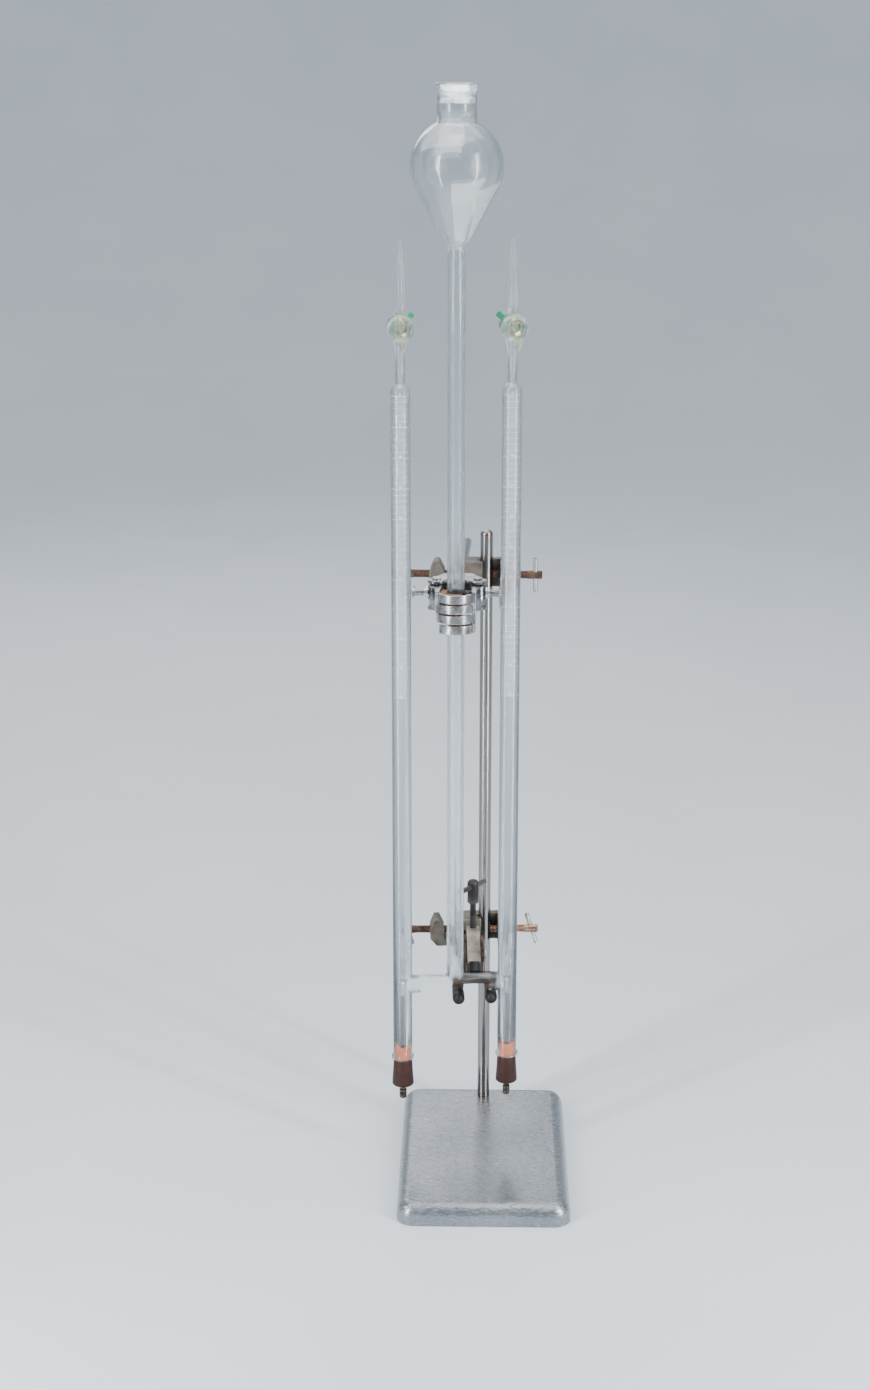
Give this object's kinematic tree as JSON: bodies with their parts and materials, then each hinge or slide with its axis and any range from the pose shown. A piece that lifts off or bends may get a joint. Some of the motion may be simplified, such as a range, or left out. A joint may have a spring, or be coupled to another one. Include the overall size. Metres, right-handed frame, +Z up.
{
  "type": "hofmann voltameter",
  "caption": "Glass water-electrolysis voltameter with bulb reservoir, graduated side tubes, stopcocks and stoppered electrodes, clamped to a retort stand.",
  "frame": {"origin": "middle of the base's underside, on the surface it stands on", "axes": "+Z up along the rod; -Y is the front, with the glass in front of the rod; +X is to the right seen from the front"},
  "size_m": [0.1701, 0.4269, 1.0151],
  "materials": {
    "hammertone_paint": "silver-grey hammer-finish paint",
    "rod_steel": "polished, lightly worn steel",
    "fastener_steel": "plain zinc-grey steel",
    "clear_glass": "clear borosilicate glass",
    "key_glass": "amber-green glass, ground on its taper",
    "retainer_plastic": "dark green moulded plastic",
    "stopper_rubber": "matt red-brown rubber",
    "platinum": "bright platinum foil and wire",
    "lead_wire": "dark tarnished copper wire",
    "terminal_metal": "dull plated brass",
    "worn_cast_iron": "weathered beige-grey cast iron",
    "brown_casting": "rough brown cast iron",
    "rusty_steel": "rusted steel thread",
    "brass_screw": "worn brass thread",
    "dark_steel": "dark oiled steel",
    "bright_bar": "bright nickel plate",
    "nickel_plate": "worn bright nickel plate",
    "cork": "brown cork",
    "black_rubber": "matt black rubber",
    "black_screw": "black oxide steel"
  },
  "bodies": {
    "stand": {"base": "hammertone_paint", "rod": "rod_steel", "rod_washer": "fastener_steel", "rod_nut": "fastener_steel"},
    "carriage": {"reservoir": "clear_glass", "stem_tube": "clear_glass", "cross_tube": "clear_glass", "left_measuring_tube": "clear_glass", "left_stopcock_barrel": "clear_glass", "left_jet": "clear_glass", "left_stopper": "stopper_rubber", "left_electrode_sleeve": "clear_glass", "left_platinum_foil": "platinum", "left_lead_coil": "lead_wire", "left_terminal": "terminal_metal", "right_measuring_tube": "clear_glass", "right_stopcock_barrel": "clear_glass", "right_jet": "clear_glass", "right_stopper": "stopper_rubber", "right_electrode_sleeve": "clear_glass", "right_platinum_foil": "platinum", "right_lead_coil": "lead_wire", "right_terminal": "terminal_metal", "upper_bosshead": "worn_cast_iron", "lower_bosshead": "worn_cast_iron", "upper_clamp_shaft": "rod_steel", "upper_clamp_body": "nickel_plate", "upper_clamp_left_pivot_pin": "fastener_steel", "upper_clamp_right_pivot_pin": "fastener_steel", "lower_clamp_shaft": "rod_steel", "lower_clamp_body": "brown_casting", "lower_clamp_left_fork_tip": "black_rubber", "lower_clamp_right_fork_tip": "black_rubber", "lower_clamp_pivot_pin": "fastener_steel"},
    "left_key": {"left_stopcock_key": "key_glass", "left_key_retainer": "retainer_plastic"},
    "right_key": {"right_stopcock_key": "key_glass", "right_key_retainer": "retainer_plastic"},
    "upper_left_boss_screw_body": {"upper_left_boss_screw": "rusty_steel", "upper_left_tommy_bar": "dark_steel"},
    "upper_right_boss_screw_body": {"upper_right_boss_screw": "rusty_steel", "upper_right_tommy_bar": "dark_steel"},
    "lower_left_boss_screw_body": {"lower_left_boss_screw": "rusty_steel", "lower_left_tommy_bar": "dark_steel"},
    "lower_right_boss_screw_body": {"lower_right_boss_screw": "brass_screw", "lower_right_tommy_bar": "bright_bar"},
    "upper_left_jaw_body": {"upper_clamp_left_jaw": "nickel_plate", "upper_clamp_left_pads": "cork"},
    "upper_left_washer_body": {"upper_clamp_left_washer": "nickel_plate"},
    "upper_left_thumbscrew_body": {"upper_clamp_left_thumbscrew": "nickel_plate"},
    "upper_right_jaw_body": {"upper_clamp_right_jaw": "nickel_plate", "upper_clamp_right_pads": "cork"},
    "upper_right_washer_body": {"upper_clamp_right_washer": "nickel_plate"},
    "upper_right_thumbscrew_body": {"upper_clamp_right_thumbscrew": "nickel_plate"},
    "finger": {"lower_clamp_finger": "worn_cast_iron", "lower_clamp_finger_tip": "black_rubber"},
    "tee_foot": {"tee_screw_foot": "black_screw"},
    "tee": {"tee_screw": "black_screw", "tee_bar": "black_screw"}
  },
  "joints": [
    {"name": "carriage_height", "type": "slide", "parent": "stand", "child": "carriage", "axis": [0, 0, 1], "range_m": [-0.04, 0.025]},
    {"name": "left_stopcock_turn", "type": "hinge", "parent": "carriage", "child": "left_key", "pos_m": [-0.07773, -0.00023, 0.8068], "axis": [-0.1045, 0.9945, 0], "continuous": true},
    {"name": "right_stopcock_turn", "type": "hinge", "parent": "carriage", "child": "right_key", "pos_m": [0.02173, 0.01023, 0.8068], "axis": [-0.1045, 0.9945, 0], "continuous": true},
    {"name": "upper_left_boss_screw_turn", "type": "hinge", "parent": "carriage", "child": "upper_left_boss_screw_body", "pos_m": [-0.05996, 0.10509, 0.562], "axis": [-0.9994, 0.0349, 0], "range_deg": [0, 720]},
    {"name": "upper_right_boss_screw_turn", "type": "hinge", "parent": "carriage", "child": "upper_right_boss_screw_body", "pos_m": [0.02998, 0.10195, 0.562], "axis": [0.9994, -0.0349, 0], "range_deg": [0, 720]},
    {"name": "lower_left_boss_screw_turn", "type": "hinge", "parent": "carriage", "child": "lower_left_boss_screw_body", "pos_m": [-0.05994, 0.10038, 0.201], "axis": [-0.999, -0.0436, 0], "range_deg": [0, 720]},
    {"name": "lower_right_boss_screw_turn", "type": "hinge", "parent": "carriage", "child": "lower_right_boss_screw_body", "pos_m": [0.02997, 0.10431, 0.201], "axis": [0.999, 0.0436, 0], "range_deg": [0, 720]},
    {"name": "upper_left_thumbscrew_travel", "type": "slide", "parent": "carriage", "child": "upper_left_washer_body", "axis": [-0.9994, 0.0349, 0], "range_m": [0, 0.0016]},
    {"name": "upper_left_thumbscrew_turn", "type": "hinge", "parent": "upper_left_washer_body", "child": "upper_left_thumbscrew_body", "pos_m": [-0.05732, 0.02504, 0.562], "axis": [-0.9994, 0.0349, 0], "range_deg": [0, 1000]},
    {"name": "upper_left_jaw_swing", "type": "hinge", "parent": "carriage", "child": "upper_left_jaw_body", "pos_m": [-0.04601, 0.03365, 0.562], "axis": [0, 0, -1], "range_deg": [0, 14]},
    {"name": "upper_right_thumbscrew_travel", "type": "slide", "parent": "carriage", "child": "upper_right_washer_body", "axis": [0.9994, -0.0349, 0], "range_m": [0, 0.0016]},
    {"name": "upper_right_thumbscrew_turn", "type": "hinge", "parent": "upper_right_washer_body", "child": "upper_right_thumbscrew_body", "pos_m": [0.00264, 0.02294, 0.562], "axis": [0.9994, -0.0349, 0], "range_deg": [0, 1000]},
    {"name": "upper_right_jaw_swing", "type": "hinge", "parent": "carriage", "child": "upper_right_jaw_body", "pos_m": [-0.00803, 0.03232, 0.562], "axis": [0, 0, 1], "range_deg": [0, 14]},
    {"name": "finger_swing", "type": "hinge", "parent": "carriage", "child": "finger", "pos_m": [-0.01058, 0.04048, 0.199], "axis": [-0.999, -0.0436, 0], "range_deg": [0, 11]},
    {"name": "tee_screw_travel", "type": "slide", "parent": "finger", "child": "tee_foot", "axis": [0, 0, 1], "range_m": [0, 0.003]},
    {"name": "tee_screw_turn", "type": "hinge", "parent": "tee_foot", "child": "tee", "pos_m": [-0.01128, 0.05646, 0.231], "axis": [0, 0, 1], "range_deg": [0, 1000]}
  ],
  "couplings": [
    {"joint": "upper_left_thumbscrew_turn", "follows": "upper_left_thumbscrew_travel", "rad_per_m": 7854},
    {"joint": "upper_left_jaw_swing", "follows": "upper_left_thumbscrew_travel", "rad_per_m": 109.08},
    {"joint": "upper_right_thumbscrew_turn", "follows": "upper_right_thumbscrew_travel", "rad_per_m": 7854},
    {"joint": "upper_right_jaw_swing", "follows": "upper_right_thumbscrew_travel", "rad_per_m": 109.08},
    {"joint": "finger_swing", "follows": "tee_screw_travel", "rad_per_m": 52.36},
    {"joint": "tee_screw_turn", "follows": "tee_screw_travel", "rad_per_m": 4188.8}
  ]
}
